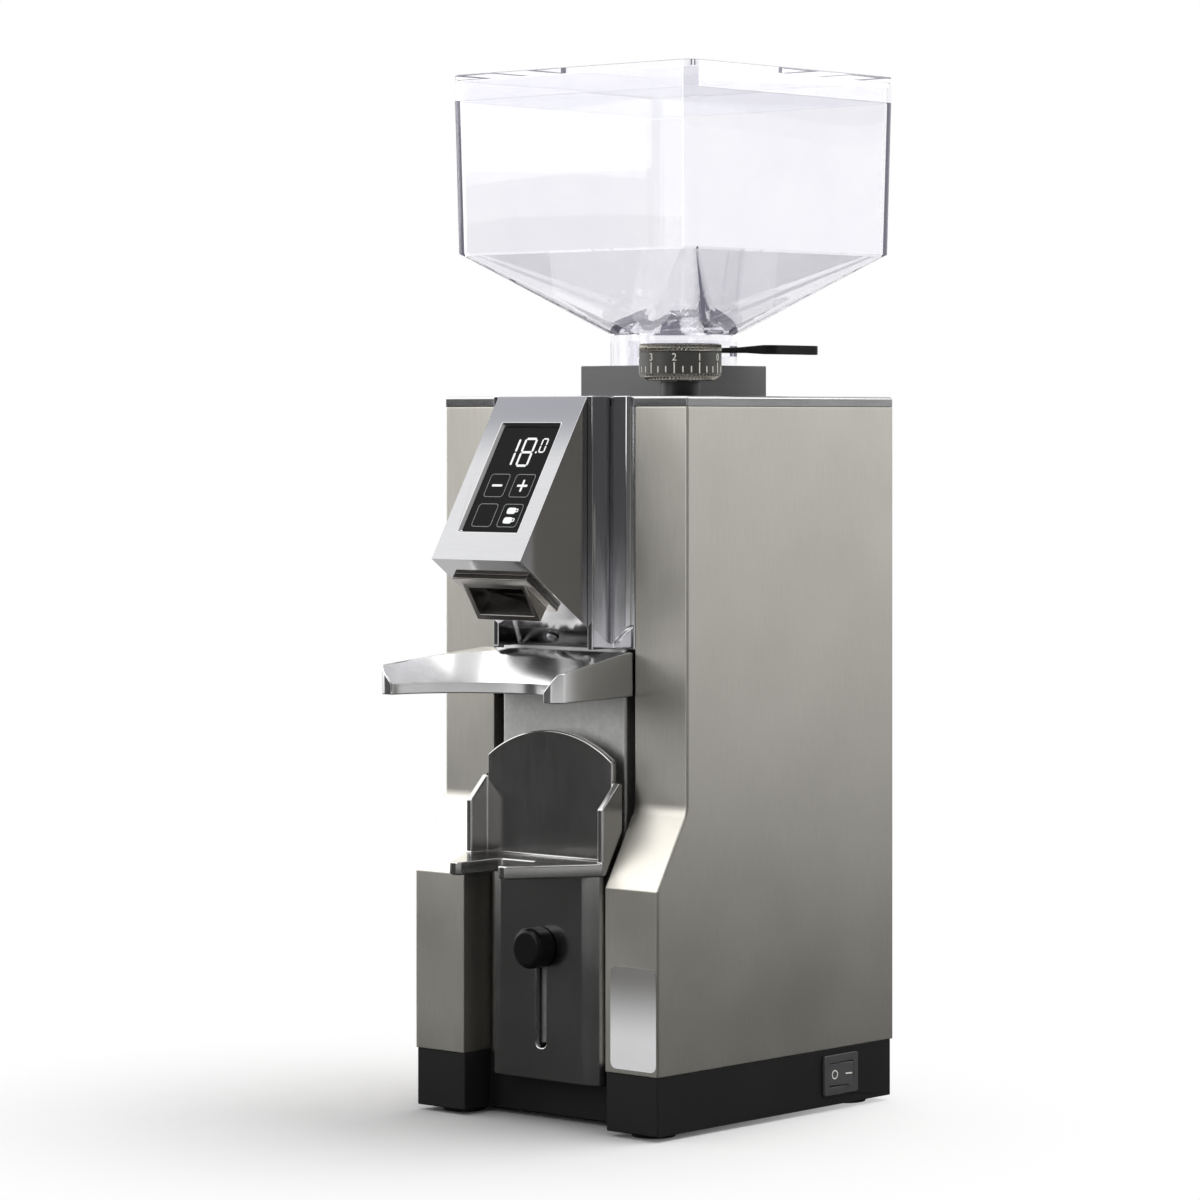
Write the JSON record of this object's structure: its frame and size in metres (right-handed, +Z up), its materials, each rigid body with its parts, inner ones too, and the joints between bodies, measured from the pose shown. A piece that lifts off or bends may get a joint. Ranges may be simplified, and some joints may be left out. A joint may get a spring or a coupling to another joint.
{
  "type": "burr coffee grinder",
  "caption": "Upright dosing burr coffee grinder: steel body, clear square hopper with slide gate, grind dial, slanted display head, hood and height-adjustable weighing fork.",
  "frame": {"origin": "middle of the bounding box on the table, under the feet", "axes": "+Z up, -Y towards the user (display and fork), +X to the right of someone facing its front"},
  "size_m": [0.1219, 0.1754, 0.3889],
  "materials": {
    "side_steel": "brushed, upright grain",
    "rear_steel": "brushed",
    "top_polish": "polished",
    "trim_chrome": "mirror",
    "backing_polish": "polished",
    "head_metal": "polished and satin",
    "screen_glass": "black glass",
    "nozzle_metal": "polished",
    "hood_metal": "polished casting",
    "fork_metal": "polished",
    "base_black": "fine grain",
    "foot_rubber": "matt",
    "dial_black": "knurled",
    "stem_black": "matt",
    "knob_black": "satin",
    "gate_black": "satin",
    "hopper_clear": "clear",
    "lid_clear": "clear",
    "collar_grey": "fine grain",
    "switch_black": "satin",
    "rocker_black": "gloss",
    "gland_black": "matt",
    "inner_steel": "plain",
    "burr_steel": "ground",
    "cast_aluminium": "cast",
    "motor_iron": "laminated",
    "nut_brass": "turned",
    "inner_plastic": "plain",
    "flap_rubber": "plain",
    "board_green": "printed board",
    "capacitor_can": "plain"
  },
  "bodies": {
    "frame": {"base_tray": "base_black", "board_standoffs": "inner_plastic", "cable_gland": "gland_black", "cell_foot": "inner_steel", "chassis": "inner_steel", "chassis_bolts": "inner_steel", "chassis_posts": "inner_steel", "chute_duct": "inner_plastic", "chute_nozzle": "nozzle_metal", "control_board": "board_green", "dial_bush": "stem_black", "display_board": "board_green", "display_glass": "screen_glass", "fork_backing": "backing_polish", "fork_carrier": "cast_aluminium", "front_trim": "trim_chrome", "grind_chamber": "cast_aluminium", "head_housing": "head_metal", "hood": "hood_metal", "hopper": "hopper_clear", "hopper_collar": "collar_grey", "left_side_panel": "side_steel", "lever_bracket": "inner_steel", "lever_pin": "inner_steel", "motor_bearings": "inner_steel", "motor_lower_bell": "cast_aluminium", "motor_stator": "motor_iron", "motor_tie_bolts": "inner_steel", "motor_upper_bell": "cast_aluminium", "rear_panel": "rear_steel", "rear_screws": "inner_steel", "right_side_panel": "side_steel", "rubber_feet": "foot_rubber", "run_capacitor": "capacitor_can", "switch_housing": "switch_black", "top_cover": "top_polish", "upper_burr": "burr_steel", "upper_burr_holder": "cast_aluminium", "upper_burr_screws": "inner_steel", "weighing_cell": "cast_aluminium"},
    "lid": {"hopper_lid": "lid_clear"},
    "gate": {"hopper_gate": "gate_black"},
    "dial": {"grind_dial": "dial_black", "dial_spindle": "inner_steel"},
    "nut": {"spindle_nut": "nut_brass"},
    "lever": {"adjust_lever": "inner_steel"},
    "lift": {"thrust_cup": "inner_steel"},
    "rotor": {"motor_shaft": "inner_steel", "motor_rotor": "motor_iron", "lower_burr_disc": "cast_aluminium", "lower_burr": "burr_steel", "lower_burr_screws": "inner_steel", "shaft_nut": "inner_steel", "cooling_fan": "inner_plastic"},
    "fork": {"fork": "fork_metal"},
    "clamp": {"clamp_knob": "knob_black", "clamp_stud": "inner_steel"},
    "flap": {"chute_flap": "flap_rubber"},
    "rocker": {"switch_rocker": "rocker_black"}
  },
  "joints": [
    {"name": "lid_lift", "type": "slide", "parent": "frame", "child": "lid", "axis": [0, 0, 1], "range_m": [0, 0.06]},
    {"name": "gate_push", "type": "slide", "parent": "frame", "child": "gate", "axis": [-1, 0, 0], "range_m": [0, 0.03]},
    {"name": "dial_turn", "type": "hinge", "parent": "frame", "child": "dial", "pos_m": [0.0366, -0.0118, 0.28], "axis": [0, 0, 1], "range_deg": [-360, 360]},
    {"name": "nut_travel", "type": "slide", "parent": "frame", "child": "nut", "axis": [0, 0, 1], "range_m": [-0.0011, 0.0011]},
    {"name": "lever_tilt", "type": "hinge", "parent": "frame", "child": "lever", "pos_m": [-0.01913, 0.04774, 0.0849], "axis": [-0.7301, -0.6834, 0], "range_deg": [-0.75, 0.75]},
    {"name": "shaft_lift", "type": "slide", "parent": "frame", "child": "lift", "axis": [0, 0, 1], "range_m": [-0.000343, 0.000343]},
    {"name": "rotor_spin", "type": "hinge", "parent": "lift", "child": "rotor", "pos_m": [0, 0.0273, 0.17], "axis": [0, 0, 1], "continuous": true},
    {"name": "fork_slide", "type": "slide", "parent": "frame", "child": "fork", "axis": [0, 0, 1], "range_m": [0, 0.022]},
    {"name": "clamp_turn", "type": "hinge", "parent": "frame", "child": "clamp", "pos_m": [0, -0.0477, 0.0653], "axis": [0, -1, 0], "range_deg": [0, 360]},
    {"name": "flap_swing", "type": "hinge", "parent": "frame", "child": "flap", "pos_m": [0, -0.0277, 0.2312], "axis": [-1, 0, 0], "range_deg": [0, 40]},
    {"name": "power_rock", "type": "hinge", "parent": "frame", "child": "rocker", "pos_m": [0.0564, 0.0533, 0.0135], "axis": [0, 0, 1], "range_deg": [0, 18]}
  ],
  "couplings": [
    {"joint": "dial_turn", "follows": "shaft_lift", "rad_per_m": -18301},
    {"joint": "nut_travel", "follows": "shaft_lift", "ratio": 2.9128},
    {"joint": "lever_tilt", "follows": "shaft_lift", "rad_per_m": 35.714}
  ]
}
